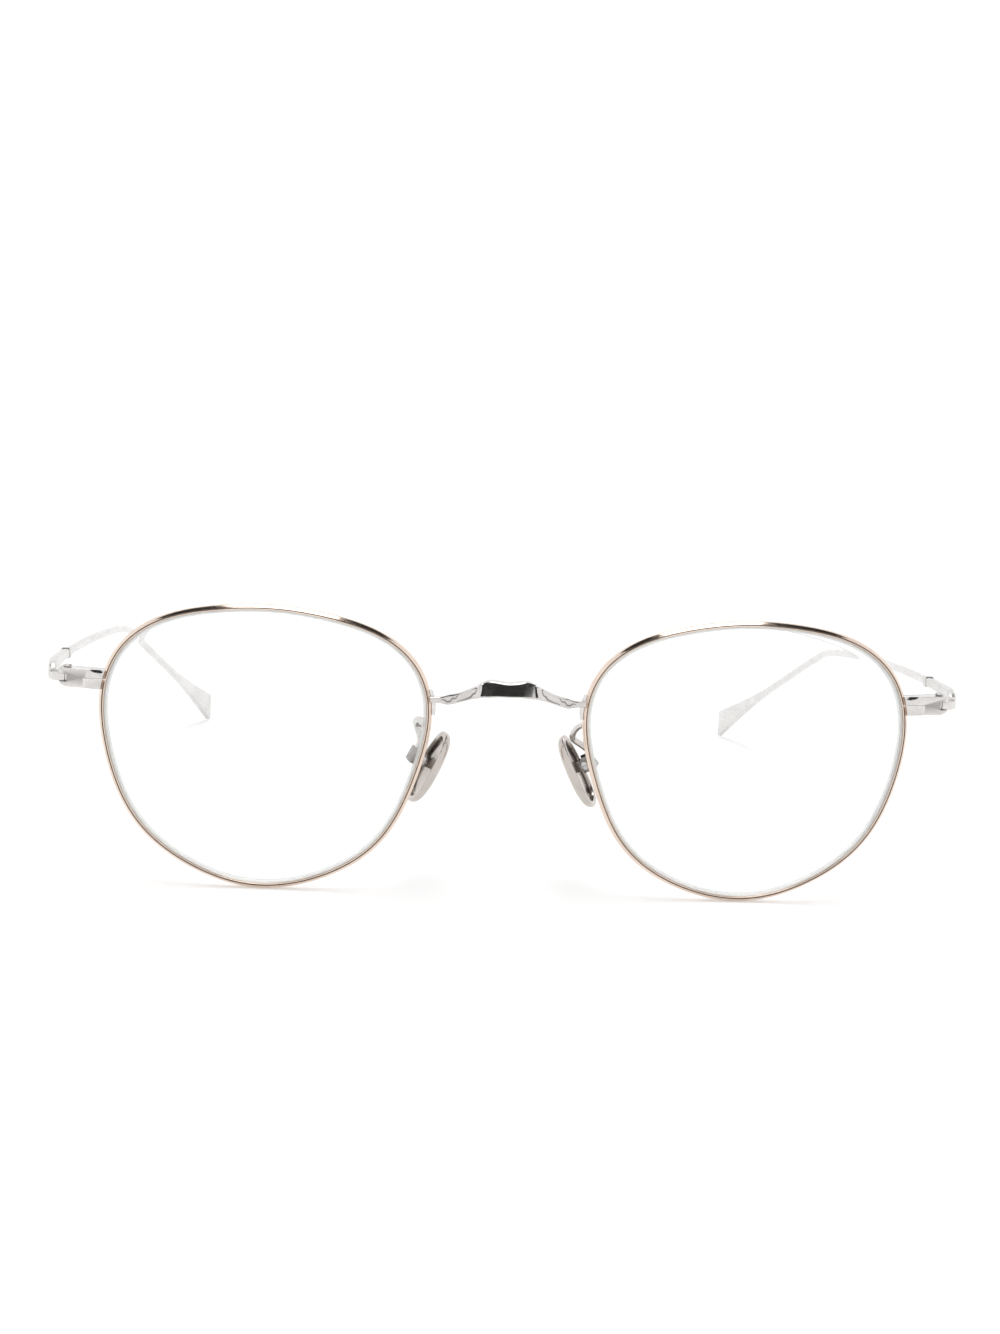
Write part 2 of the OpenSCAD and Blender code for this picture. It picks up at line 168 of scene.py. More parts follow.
# ---------------------------------------------------------------------------------------------
# Places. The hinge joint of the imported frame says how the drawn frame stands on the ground.
# ---------------------------------------------------------------------------------------------
fold = next(j for j in frame["joints"] if j["name"] == "right_temple_fold")
recline = Matrix.Rotation(-math.atan2(fold["axis"][1], fold["axis"][2]), 4, "X")
PLACED = (Matrix.Translation(Vector(fold["pos_m"]) - recline @ (HINGE * MM)) @ recline
          @ Matrix.Scale(MM, 4))
ON_RIM = (Matrix.Translation((RIM_SPACING, 0, RIM_Z))
          @ Matrix.Rotation(math.radians(FACE_WRAP), 4, "Z"))
ON_HINGE = Matrix.Translation(HINGE)
ON_PAD = (Matrix.Translation(PAD_PLACE) @ Matrix.Rotation(math.radians(-PAD_LEAN), 4, "Y")
          @ Matrix.Rotation(math.radians(-PAD_SPLAY), 4, "Z"))
AS_DRAWN = Matrix.Identity(4)


# ---------------------------------------------------------------------------------------------
# Materials
# ---------------------------------------------------------------------------------------------
def node(tree, kind, **settings):
    made = tree.nodes.new(kind)
    for name, value in settings.items():
        if name in made.inputs:
            made.inputs[name].default_value = value
        else:
            setattr(made, name, value)
    return made


def new_material(name):
    """A material with an empty Principled shader, and the object's own millimetre coordinates."""
    made = bpy.data.materials.new(name)
    made.use_nodes = True
    tree = made.node_tree
    shader = tree.nodes["Principled BSDF"]
    place = node(tree, "ShaderNodeTexCoord")
    return made, tree, shader, place.outputs["Object"]


def noise_at(tree, place, per_mm, detail=3.0, stretch=(1, 1, 1)):
    """Noise with so many cells to the millimetre, drawn out along the axes where stretch is low."""
    scale = [1000 * per_mm * s for s in stretch]
    mapping = node(tree, "ShaderNodeMapping")
    mapping.inputs["Scale"].default_value = scale
    tree.links.new(place, mapping.inputs["Vector"])
    made = node(tree, "ShaderNodeTexNoise", Scale=1.0, Detail=detail)
    tree.links.new(mapping.outputs["Vector"], made.inputs["Vector"])
    return made.outputs["Fac"]


def between(tree, value, low, high, start=0.3, end=0.7):
    """Turns a value that runs from start to end into one that runs from low to high."""
    made = node(tree, "ShaderNodeMapRange")
    for name, number in (("From Min", start), ("From Max", end), ("To Min", low), ("To Max", high)):
        made.inputs[name].default_value = number
    tree.links.new(value, made.inputs["Value"])
    return made.outputs["Result"]


def blend_colours(tree, share, first, second):
    made = node(tree, "ShaderNodeMix", data_type="RGBA")
    tree.links.new(share, made.inputs["Factor"])
    for socket, colour in ((6, first), (7, second)):
        if isinstance(colour, tuple):
            made.inputs[socket].default_value = (*colour, 1)
        else:
            tree.links.new(colour, made.inputs[socket])
    return made.outputs[2]


def combine_values(tree, a, b, operation="ADD"):
    made = node(tree, "ShaderNodeMath", operation=operation)
    made.use_clamp = True
    for socket, value in ((0, a), (1, b)):
        if isinstance(value, (int, float)):
            made.inputs[socket].default_value = value
        else:
            tree.links.new(value, made.inputs[socket])
    return made.outputs[0]


def bump(tree, height, strength, distance_mm, under=None):
    made = node(tree, "ShaderNodeBump", Strength=strength, Distance=distance_mm * MM)
    tree.links.new(height, made.inputs["Height"])
    if under is not None:
        tree.links.new(under, made.inputs["Normal"])
    return made.outputs["Normal"]


def metal(name, colour, dull, worn, rough, brushed=0.0, grain=(1, 1, 1), ripple=0.0):
    """Plated metal: clouded colour, uneven gloss, fine polishing lines, paler rubbed edges, and painted
    shade that darkens the creases.

    rough is (lowest, highest) roughness, brushed the strength of the lines, grain the stretch of
    the lines, and ripple the strength of a soft unevenness of the surface."""
    made, tree, shader, place = new_material(name)
    cloud = noise_at(tree, place, 0.22, 4)
    speck = noise_at(tree, place, 2.6, 5)
    lines = noise_at(tree, place, 9.0, 2, grain)
    wear = node(tree, "ShaderNodeAttribute", attribute_name="wear").outputs["Fac"]
    rubbed = combine_values(tree, wear, between(tree, speck, 0.25, 1.0), "MULTIPLY")

    tone = blend_colours(tree, between(tree, cloud, 0, 1), dull, colour)
    # Painted shade: the crease mark blends the colour towards near-black in creases and hollows.
    crease_shade = node(tree, "ShaderNodeAttribute", attribute_name="crease").outputs["Fac"]
    painted_crease_shade = tuple(0.12 * channel for channel in dull)
    shader.inputs["Metallic"].default_value = 1.0
    rubbed_tone = blend_colours(tree, rubbed, tone, worn)
    tree.links.new(blend_colours(tree, crease_shade, rubbed_tone, painted_crease_shade), shader.inputs["Base Color"])

    low, high = rough
    uneven = between(tree, speck, low, high)
    streaked = combine_values(tree, uneven, between(tree, lines, 0, 0.5 * (high - low) + 0.01))
    softened = combine_values(tree, streaked, combine_values(tree, rubbed, 0.06, "MULTIPLY"))
    tree.links.new(softened, shader.inputs["Roughness"])

    surface = bump(tree, lines, 0.05 + brushed, 0.004)
    surface = bump(tree, noise_at(tree, place, 0.5, 2), 0.02 + ripple, 0.05, surface)
    tree.links.new(surface, shader.inputs["Normal"])
    return made


def clear_glass(name):
    """A clear lens: faint cool tint, hardly any unevenness."""
    made, tree, shader, place = new_material(name)
    cloud = noise_at(tree, place, 0.05, 2)
    tint = blend_colours(tree, between(tree, cloud, 0, 1), (0.972, 0.98, 0.978), (0.985, 0.99, 0.988))
    tree.links.new(tint, shader.inputs["Base Color"])
    shader.inputs["Roughness"].default_value = 0.0
    shader.inputs["IOR"].default_value = 1.5
    shader.inputs["Transmission Weight"].default_value = 1.0
    return made


def ground_glass(name):
    """The finely ground edge of a lens: pale and frosted."""
    made, tree, shader, place = new_material(name)
    grit = noise_at(tree, place, 6, 3)
    tint = blend_colours(tree, between(tree, grit, 0, 1), (0.88, 0.88, 0.87), (0.95, 0.95, 0.94))
    tree.links.new(tint, shader.inputs["Base Color"])
    shader.inputs["Roughness"].default_value = 0.5
    shader.inputs["IOR"].default_value = 1.5
    shader.inputs["Transmission Weight"].default_value = 0.6
    tree.links.new(bump(tree, grit, 0.2, 0.01), shader.inputs["Normal"])
    return made


ALONG = (1, 0.02, 1)
ACROSS = (0.06, 1, 1)
MATERIALS = {
    "rose_metal": metal("rose_metal", (0.84, 0.70, 0.60), (0.80, 0.655, 0.555), (0.90, 0.80, 0.72),
                        (0.06, 0.13)),
    "silver_metal": metal("silver_metal", (0.70, 0.675, 0.66), (0.62, 0.595, 0.58),
                          (0.84, 0.82, 0.80), (0.07, 0.15), grain=ACROSS),
    "temple_metal": metal("temple_metal", (0.80, 0.78, 0.77), (0.71, 0.69, 0.68),
                          (0.93, 0.92, 0.915), (0.18, 0.3), brushed=0.1, grain=ALONG),
    "satin_metal": metal("satin_metal", (0.60, 0.55, 0.515), (0.50, 0.455, 0.42),
                         (0.76, 0.72, 0.68), (0.1, 0.2), brushed=0.08, ripple=0.03),
    "screw_steel": metal("screw_steel", (0.60, 0.59, 0.59), (0.50, 0.49, 0.49),
                         (0.74, 0.73, 0.72), (0.16, 0.3), brushed=0.08),
    # Painted shade: a darker copy of the temple metal, a little less rough, put on the hinge arm only.
    "shaded_hinge_metal": metal("shaded_hinge_metal", (0.72, 0.70, 0.685), (0.65, 0.63, 0.615),
                         (0.84, 0.82, 0.80), (0.14, 0.24), brushed=0.05, grain=ALONG),
    # Painted shade: a near-black copy of the silver metal, put on the pad box to stand in for a
    # shadowed recess.
    "painted_shade_metal": metal("painted_shade_metal", (0.22, 0.195, 0.18), (0.13, 0.115, 0.105),
                        (0.55, 0.52, 0.50), (0.12, 0.22), brushed=0.05),
    "clear_lens": clear_glass("clear_lens"),
    "ground_edge": ground_glass("ground_edge"),
}


# ---------------------------------------------------------------------------------------------
# Mesh building, in millimetres
# ---------------------------------------------------------------------------------------------
def raw_object(name, points, faces):
    mesh = bpy.data.meshes.new(name)
    mesh.from_pydata([tuple(p) for p in points], [], faces)
    bm = bmesh.new()
    bm.from_mesh(mesh)
    bmesh.ops.recalc_face_normals(bm, faces=bm.faces)
    bm.to_mesh(mesh)
    bm.free()
    made = bpy.data.objects.new(name, mesh)
    scene.collection.objects.link(made)
    return made


def skin(name, rings, loop=False):
    """A closed skin over rings of points, each ring in the same order."""
    n = len(rings[0])
    m = len(rings)
    faces = []
    for i in range(m if loop else m - 1):
        for j in range(n):
            k = (j + 1) % n
            ahead = (i + 1) % m
            faces.append((i * n + j, i * n + k, ahead * n + k, ahead * n + j))
    if not loop:
        faces.append(tuple(range(n)))
        faces.append(tuple((m - 1) * n + j for j in range(n)))
    return raw_object(name, [p for ring in rings for p in ring], faces)


def prism(name, shape, low, high, axis="Z"):
    """A flat shape drawn out along Z, or a shape seen from the front drawn out along Y."""
    if axis == "Z":
        rings = [[Vector((x, y, h)) for x, y in shape] for h in (low, high)]
    else:
        rings = [[Vector((x, h, z)) for x, z in shape] for h in (low, high)]
    return skin(name, rings)


def wire_rings(path, radii, points=20):
    """Round rings along a path, with a side direction carried along without twisting."""
    rings = []
    side = Vector((0.3, -0.2, 0.93))
    for i, (middle, radius) in enumerate(zip(path, radii)):
        along = (path[min(i + 1, len(path) - 1)] - path[max(i - 1, 0)]).normalized()
        side = (side - side.dot(along) * along).normalized()
        other = along.cross(side)
        rings.append([middle + radius * (cos(360 * k / points) * side + sin(360 * k / points) * other)
                      for k in range(points)])
    return rings


def box_solid(name, low, high):
    shape = [(low[0], low[1]), (high[0], low[1]), (high[0], high[1]), (low[0], high[1])]
    return prism(name, shape, low[2], high[2])


def turned(name, profile, steps=40):
    """A turned solid on the Z axis. The profile lists (radius, height) from one end to the other."""
    rings = [[Vector((r * cos(360 * k / steps), r * sin(360 * k / steps), h)) for k in range(steps)]
             for r, h in profile]
    return skin(name, rings)


def move(obj, matrix):
    obj.data.transform(matrix)
    if matrix.determinant() < 0:
        obj.data.flip_normals()
    return obj


def settle(obj):
    """Makes the result of the modifiers the object's own mesh."""
    bpy.context.view_layer.update()
    seen = obj.evaluated_get(bpy.context.evaluated_depsgraph_get())
    mesh = bpy.data.meshes.new_from_object(seen)
    obj.modifiers.clear()
    obj.data = mesh
    return obj


def combine(obj, others, operation):
    for other in others:
        step = obj.modifiers.new(operation.lower(), "BOOLEAN")
        step.object = other
        step.operation = operation
        step.solver = "EXACT"
    settle(obj)
    for other in others:
        bpy.data.objects.remove(other)
    return obj


def cut(obj, *others):
    return combine(obj, others, "DIFFERENCE")


def join(obj, *others):
    return combine(obj, others, "UNION")


def common(obj, *others):
    return combine(obj, others, "INTERSECT")


def soften(obj, width, segments=3, angle=28):
    """Rounds the edges."""
    step = obj.modifiers.new("edges", "BEVEL")
    step.width = width
    step.segments = segments
    step.limit_method = "ANGLE"
    step.angle_limit = math.radians(angle)
    return settle(obj)


def mark_wear_and_crease_shade(bm):
    """How far each point stands out from its neighbours, or lies deeper than they do: 0 on flats,
    up to 1 on sharp edges and in sharp creases. The edge value marks rubbed wear; the crease value
    drives painted shade."""
    wear = bm.verts.layers.float.new("wear")
    crease = bm.verts.layers.float.new("crease")
    for vertex in bm.verts:
        spread = Vector()
        for edge in vertex.link_edges:
            spread += (edge.other_vert(vertex).co - vertex.co).normalized()
        depth = -vertex.normal.dot(spread / max(1, len(vertex.link_edges)))
        vertex[wear] = min(1.0, max(0.0, (depth - 0.05) / 0.3))
        vertex[crease] = min(1.0, max(0.0, (-depth - 0.05) / 0.3))


def finish_piece(obj, node_name, body, slot_name, place, side, sharp=42, look=None):
    """Puts a piece drawn on the right in its place and on its body, and gives it its finish: the
    look of its slot, or a look of its own."""
    bm = bmesh.new()
    bm.from_mesh(obj.data)
    bmesh.ops.remove_doubles(bm, verts=bm.verts, dist=0.0008)
    bmesh.ops.dissolve_degenerate(bm, edges=bm.edges, dist=0.0005)
    bm.normal_update()
    for face in bm.faces:
        face.smooth = True
    for edge in bm.edges:
        if len(edge.link_faces) == 2:
            edge.smooth = edge.calc_face_angle(0) < math.radians(sharp)
    mark_wear_and_crease_shade(bm)
    bm.to_mesh(obj.data)
    bm.free()
    move(obj, PLACED @ Matrix.Diagonal((side, 1, 1, 1)) @ place)
    obj.data.materials.clear()
    obj.data.materials.append(MATERIALS[look or slot_name])
    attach(obj, body)
    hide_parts(node_name)
    return obj


# ---------------------------------------------------------------------------------------------
# Rims and lenses
# ---------------------------------------------------------------------------------------------
def arc(middle, radius, start, end, steps):
    """Points of an arc in the section plane: across, and depth."""
    return [(middle[0] + radius * cos(mix(start, end, k / steps)),
             middle[1] + radius * sin(mix(start, end, k / steps))) for k in range(steps + 1)]


def rim_section():
    """The wire's section: a narrow front lip, a fine line, a crowned bevel, and a lens groove."""
    front, back, mid = WIRE_FRONT, WIRE_BACK, WIRE_MID
    lip = arc((-WIRE + LIP_RADIUS, front + LIP_RADIUS), LIP_RADIUS, 180, 270, 3)
    lip += [(-0.785, front), (-0.765, front + 0.02)]
    line = [(-0.75, front + LINE_DEPTH), (-0.61, front + LINE_DEPTH)]
    bevel = []
    for k in range(9):
        crown = BEVEL_CROWN * sin(180 * k / 8)
        bevel.append((mix(-BEVEL_WIDTH, 0, k / 8) + crown,
                      mix(front + 0.02, front + BEVEL_DEPTH, k / 8) - crown))
    outside = [(0, front + 0.8), (0, back - 0.5)] + arc((-0.25, back - 0.25), 0.25, 0, 90, 4)
    inside = arc((-WIRE + 0.12, back - 0.12), 0.12, 90, 180, 3)
    groove = [(-WIRE, mid + 0.36), (-WIRE + 0.38, mid), (-WIRE, mid - 0.36)]
    return lip + line + bevel + outside + inside + groove


def make_rim(side_name, side):
    """The wire loop, open at the rim lock, where its two ends face each other."""
    half_gap = 0.11 + SPLIT_GAP
    steps = 400
    section = rim_section()
    rings = [[rim_point(SPLIT + half_gap + k * (360 - 2 * half_gap) / steps, n, d)
              for n, d in section] for k in range(steps + 1)]
    rim = skin(side_name + "_rim_wire", rings)
    finish_piece(rim, side_name + "_rim", "front", "rose_metal", ON_RIM, side, sharp=38)


def make_lens(side_name, side):
    """A curved disc of even thickness, with a bevelled and ground edge in the rim's groove."""
    steps = 240
    inset = WIRE + 0.06
    tip = WIRE - 0.3
    front = WIRE_MID - LENS_THICKNESS / 2
    back = WIRE_MID + LENS_THICKNESS / 2
    spans = [0.02, 0.12, 0.24, 0.36, 0.48, 0.6, 0.7, 0.8, 0.88, 0.95, 0.988]

    def ring(share, inwards, depth):
        return [on_ball(share * outline_at(360 * k / steps, -inwards), depth) for k in range(steps)]

    rings = [ring(s, inset, front) for s in spans]
    rings += [ring(1, inset, front + 0.04), ring(1, inset, WIRE_MID - 0.3), ring(1, tip, WIRE_MID)]
    rings += [ring(1, inset, WIRE_MID + 0.3), ring(1, inset, back - 0.04)]
    rings += [ring(s, inset, back) for s in reversed(spans)]
    lens = skin(side_name + "_lens_glass", rings)
    finish_piece(lens, side_name + "_lens", "front", "clear_lens", ON_RIM, side, sharp=30)
    lens.data.materials.append(MATERIALS["ground_edge"])
    band = range((len(spans) - 1) * steps, (len(rings) - len(spans)) * steps)
    for face in lens.data.polygons:
        face.material_index = 1 if face.index in band else 0
    lens.visible_shadow = False


def rim_cutter(grow):
    """A straight prism in the shape of the rim's outside, used where parts meet the rim."""
    shape = [tuple(outline_at(360 * k / 200, grow)) for k in range(200)]
    return prism("rim_cutter", shape, -12, 12, axis="Y")


# ---------------------------------------------------------------------------------------------
# Bridge
# ---------------------------------------------------------------------------------------------
BRIDGE_REACH = 12.4
BRIDGE_MID = 10.1
FACE_LEAN = 30


def swell(x, width):
    """1 at x = 0, fading to nothing over the width."""
    return math.exp(-((x / width) ** 2))


def ease(x, start, end):
    """1 before start, 0 after end, and smooth between them."""
    return (1 + math.cos(math.pi * max(0, min(1, (x - start) / (end - start))))) / 2


def bridge_ring(x, points=44):
    """The bridge's section at x: a rounded box in the middle, whose front leans back at the top,
    and a slimmer wing with a ridge running down it on each side."""
    far = abs(x)
    half_tall = (0.45 + 0.3 * ease(far, 8.6, 10.4) + 0.3 * ease(far, 2.4, 7.5)
                 + 0.12 * swell(far - 2.8, 1.1) - 0.06 * swell(x, 1.2))
    half_deep = 0.6 + 0.5 * ease(far, 2, 9.5)
    mid_z = RIM_Z + BRIDGE_MID - 2.05 * (1 - ease(far, 2, 10)) - 0.1 * swell(x, 1.3)
    mid_y = 2.35 - 1.8 * cos(min(90, far * 7.4)) ** 1.4
    square = mix(0.6, 0.2, ease(far, 4, 6))
    lean = FACE_LEAN * ease(far, 3.9, 5.0)
    ridge_height = mix(-0.9, 0.9, ease(far, 5.2, 10.6))
    ring = []
    for k in range(points):
        c, s = cos(360 * k / points), sin(360 * k / points)
        deep = half_deep * math.copysign(abs(c) ** square, c)
        tall = half_tall * math.copysign(abs(s) ** square, s)
        if c < 0:
            ridge = max(0, 1 - abs(tall / half_tall - ridge_height) / 1.2)
            deep -= 0.2 * ridge * (1 - ease(far, 4.7, 5.7)) * abs(c) ** 0.3
        back = (tall + half_tall) * math.tan(math.radians(lean))
        ring.append(Vector((x, mid_y + deep + back, mid_z + tall)))
    return ring


def bridge_foot(side):
    """A thin plate along the nose side of a rim, thickest in the middle."""
    rings = []
    for k in range(17):
        t = 158.5 + 8.4 * k / 16
        thick = 0.13 + 0.32 * sin(180 * (0.12 + 0.76 * k / 16))
        shape = [(-0.1, 0.15), (thick, 0.17), (thick + 0.08, 0.24), (thick + 0.1, 0.36),
                 (thick + 0.1, 1.2), (thick + 0.07, 1.34), (thick, 1.42), (-0.1, 1.45)]
        rings.append([rim_point(t, n, d) for n, d in shape])
    return move(skin("foot", rings), Matrix.Diagonal((side, 1, 1, 1)) @ ON_RIM)


# Engraved lines on each wing of the bridge: x, and height as a share of the wing's height there.
FLOURISHES = (((4.75, 0.9), (4.95, 0.6), (5.4, 0.5), (5.7, 0.3), (6.4, 0.22), (7.2, 0.25), (7.9, 0.2)),
              ((7.5, 0.85), (7.9, 0.6), (8.3, 0.62), (8.6, 0.4), (9.1, 0.35), (9.6, 0.6), (10.2, 0.45)))


def bridge_face(x, height):
    """The point of the bridge's front at this x and share of its height."""
    ring = bridge_ring(x, 120)
    low = min(p.z for p in ring)
    high = max(p.z for p in ring)
    return min(ring[31:90], key=lambda p: abs(p.z - mix(low, high, height)))


def flourish(marks, side):
    """A fine round-bottomed cutter along an engraved line, tapering to nothing at both ends."""
    path = []
    for (x, height), (next_x, next_height) in zip(marks, marks[1:]):
        path += [bridge_face(mix(x, next_x, k / 3), mix(height, next_height, k / 3)) for k in range(3)]
    radii = [0.03 + 0.11 * sin(180 * k / (len(path) - 1)) ** 0.5 for k in range(len(path))]
    return move(skin("flourish", wire_rings(path, radii, 8)), Matrix.Diagonal((side, 1, 1, 1)))


def make_bridge():
    """The saddle between the rims, with a foot on each and engraved wings."""
    bridge = skin("bridge_saddle", [bridge_ring(BRIDGE_REACH * k / 75) for k in range(-75, 76)])
    cutters = [move(rim_cutter(-0.25), Matrix.Diagonal((side, 1, 1, 1)) @ ON_RIM)
               for _, side in SIDES]
    cut(bridge, *cutters)
    for _, side in SIDES:
        join(bridge, bridge_foot(side))
        cut(bridge, *[flourish(marks, side) for marks in FLOURISHES])
    finish_piece(bridge, "bridge", "front", "silver_metal", AS_DRAWN, 1, sharp=35)


# ---------------------------------------------------------------------------------------------
# End pieces, hinges and screws, drawn round the hinge screw
# ---------------------------------------------------------------------------------------------
def end_block(name):
    """The whole rim lock before it is split: its outline from the front and from above."""
    h = END_HEIGHT / 2
    from_front = [(END_INNER, -h - 0.3), (END_OUTER - 1.1, -h + 0.12), (END_OUTER - 0.35, -h + 0.5),
                  (END_OUTER, -h + 1), (END_OUTER, h - 0.2), (END_OUTER - 0.2, h),
                  (END_INNER, h - 0.3)]
    from_above = [(END_INNER, END_FRONT - 0.15), (-3, END_FRONT), (END_OUTER - 0.4, END_FRONT),
                  (END_OUTER - 0.1, END_FRONT + 0.12), (END_OUTER, END_FRONT + 0.4),
                  (END_OUTER, END_BACK), (-1.2, END_BACK), (-2.4, END_BACK - 0.2),
                  (END_INNER, END_BACK - 0.6)]
    return common(prism(name, from_front, -6, 6, axis="Y"), prism("plan", from_above, -3, 3))


def bore(x, y, low, high, radius=BORE):
    """An upright round cutter."""
    made = turned("bore", [(radius, low), (radius, high)], 36)
    return move(made, Matrix.Translation((x, y, 0)))


def rim_cutter_at_hinge():
    """The rim's outside as seen from the hinge, so that the rim lock reaches into the wire."""
    return move(rim_cutter(-0.3), ON_HINGE.inverted() @ ON_RIM)


def scoop():
    """The shallow hollow along the upper front edge of an end piece, next to the rim."""
    radius, depth, lean = 3.2, 0.27, 30
    made = turned("scoop", [(radius * cos(a) + 0.001, radius * sin(a)) for a in range(-90, 91, 5)], 96)
    edge = Vector((-4.6, END_FRONT - 0.06, END_HEIGHT / 2 - 0.2))
    return move(made, Matrix.Translation(edge + (radius - depth) * Vector((0, -cos(lean), sin(lean)))))


def make_end_pieces(side_name, side):
    """The rim lock as two halves: the end piece with the hinge slot, and the closing block."""
    end = soften(cut(end_block(side_name + "_end_piece_shell"), rim_cutter_at_hinge()), 0.1)
    block = end.copy()
    block.data = end.data.copy()
    block.name = side_name + "_closing_block_shell"
    scene.collection.objects.link(block)

    room = box_solid("room", (-8, -4, -4), (BLOCK_END + 0.02, 4, 0.02))
    round_slot = turned("slot", [(1.35, -SLOT_HALF), (1.35, SLOT_HALF)], 48)
    outer_slot = box_solid("outer_slot", (-0.05, -4, -SLOT_HALF), (4, 4, SLOT_HALF))
    back_slot = box_solid("back_slot", (-1.9, 0, -SLOT_HALF), (2.1, 4, SLOT_HALF))
    cut(end, scoop(), room, round_slot, outer_slot, back_slot)
    cut(end, bore(0, 0, -4, 4), bore(*CLOSING, -4, 0.9))
    finish_piece(end, side_name + "_end_piece", "front", "silver_metal", ON_HINGE, side, sharp=30)

    common(block, box_solid("keep", (-8, -4, -4), (BLOCK_END, 4, -0.02)))
    cut(block, bore(*CLOSING, -5, 1), bore(*CLOSING, -5, HEAD_SEAT, radius=HEAD_RADIUS + 0.1))
    finish_piece(block, side_name + "_closing_block", "front", "silver_metal", ON_HINGE, side,
                 sharp=30)


def screw(name, head_radius, head, length, turn=0):
    """A slotted screw standing on its head underside, with a domed head and a turned shank."""
    profile = [(SHANK - 0.08, -length), (SHANK, -length + 0.08), (SHANK, -0.001),
               (head_radius - 0.03, 0), (head_radius, 0.03), (head_radius, head - 0.14),
               (head_radius - 0.02, head - 0.08), (head_radius - 0.09, head - 0.03),
               (head_radius * 0.55, head), (0.05, head + 0.004)]
    made = turned(name, profile, 40)
    groove = box_solid("groove", (-2, -0.1, head - 0.18), (2, 0.1, 2))
    cut(made, groove)
    return move(made, Matrix.Rotation(math.radians(turn), 4, "Z"))


def make_screws(side_name, side):
    """The hinge screw from above, the closing screw from below, and the pad's pivot screw."""
    top = Matrix.Translation((0, 0, END_HEIGHT / 2 + 0.02))
    hinge_screw = screw(side_name + "_hinge_screw_steel", HEAD_RADIUS, HEAD_HEIGHT, END_HEIGHT, turn=35)
    finish_piece(hinge_screw, side_name + "_hinge_screw", "front", "screw_steel",
                 ON_HINGE @ top, side, sharp=30)
    under = Matrix.Translation((*CLOSING, HEAD_SEAT - 0.02)) @ Matrix.Rotation(math.pi, 4, "X")
    closing_screw = screw(side_name + "_closing_screw_steel", HEAD_RADIUS, HEAD_HEIGHT, 1.9)
    finish_piece(closing_screw, side_name + "_closing_screw", "front", "screw_steel",
                 ON_HINGE @ under, side, sharp=30)
    against = (Matrix.Translation((PIVOT_X, -BOX_HALF - 0.02, PIVOT_RISE))
               @ Matrix.Rotation(math.pi / 2, 4, "X"))
    pad_screw = screw(side_name + "_pad_screw_steel", PAD_HEAD_RADIUS, HEAD_HEIGHT, 2 * BOX_HALF)
    finish_piece(pad_screw, side_name + "_pad_screw", "front", "screw_steel", ON_PAD @ against,
                 side, sharp=30)


# ---------------------------------------------------------------------------------------------
# Temples: the hinge arm with its tongue, and the slim bar with the flared end
# ---------------------------------------------------------------------------------------------
def bent(a):
    """How far the bar has gone into its bend behind the ear, so far behind the hinge screw."""
    bend = past(a, 87)
    return bend ** 2 / 32 if bend < 16 else bend - 8


def bar_x(a):
    return (HINGE.x - 0.2 - 1.1 * max(0, 1 - a / 14) ** 1.2 + 3.6 * max(0, 1 - past(a, 6) / 54) ** 1.5
            - 11.6 * (past(a, 96) / 42) ** 1.2)


def bar_z(a):
    return HINGE.z + 1 - math.exp(-a / 4) - 0.0011 * past(a, 16) ** 2 - 0.272 * bent(a)


def bar_tall(a):
    return BAR_TALL + (FLARE_TALL - BAR_TALL) * (past(a, REACH - FLARE_LENGTH) / FLARE_LENGTH) ** 1.7


def bar_ring(a, thick, tall, corner, steps=4):
    """A bar section with round corners, upright, so far behind the hinge screw."""
    ring = []
    for turn, (sx, sz) in enumerate(((1, 1), (-1, 1), (-1, -1), (1, -1))):
        middle = (sx * (thick / 2 - corner), sz * (tall / 2 - corner))
        for x, z in arc(middle, corner, 90 * turn, 90 * turn + 90, steps):
            ring.append(Vector((bar_x(a) + x, HINGE.y + a, bar_z(a) + z)))
    return ring


# distance behind the screw, height, thickness
ARM_STATIONS = ((1.27, 1.5, 1.1), (2.27, 2.1, 1.25), (3.77, 2.2, 1.3), (6.27, 1.95, 1.3),
                (9.27, 1.65, 1.3), (12.27, 1.45, 1.3), (16.36, 1.4, 1.3), (16.44, 1.66, 1.46),
                (16.6, 1.7, 1.5), (17.3, 1.7, 1.5), (17.46, 1.66, 1.46), (17.54, 1.4, 1.3),
                (17.9, 1.36, 1.28), (18.0, 1.22, 1.16))


def arm_rings():
    rings = []
    for (a, tall, thick), (b, tall_b, thick_b) in zip(ARM_STATIONS, ARM_STATIONS[1:]):
        steps = 8 if b - a > 0.5 else 1
        for k in range(steps):
            share = k / steps
            rings.append(bar_ring(mix(a, b, share), mix(thick, thick_b, share),
                                  mix(tall, tall_b, share), 0.3))
    last = ARM_STATIONS[-1]
    rings.append(bar_ring(last[0], last[2], last[1], 0.3))
    return rings


def make_hinge_arm(side_name, side):
    """The first part of the temple, with the round tongue that turns on the hinge screw."""
    half = TONGUE_HEIGHT / 2
    disc = turned("disc", [(1.07, -half), (1.13, -half + 0.03), (1.15, -half + 0.1),
                           (1.15, half - 0.1), (1.13, half - 0.03), (1.07, half)], 48)
    web = prism("web", [(0.3, -1.4), (1.5, -1.3), (2.3, -0.6), (2.8, 0.6), (2.95, 2.4), (2.1, 2.6),
                        (0.9, 0.8), (0.3, 0.9)], -half, half)
    soften(web, 0.08, 2)
    tongue = move(join(disc, web), ON_HINGE)
    arm = skin(side_name + "_hinge_arm_bar", arm_rings())
    join(arm, tongue)
    hole = move(bore(0, 0, -3, 3), ON_HINGE)
    cut(arm, hole)
    # The hinge arm takes the darker copy of its slot's metal, as painted shade.
    finish_piece(arm, side_name + "_hinge_arm", side_name + "_side_arm", "temple_metal", AS_DRAWN,
                 side, sharp=32, look="shaded_hinge_metal")


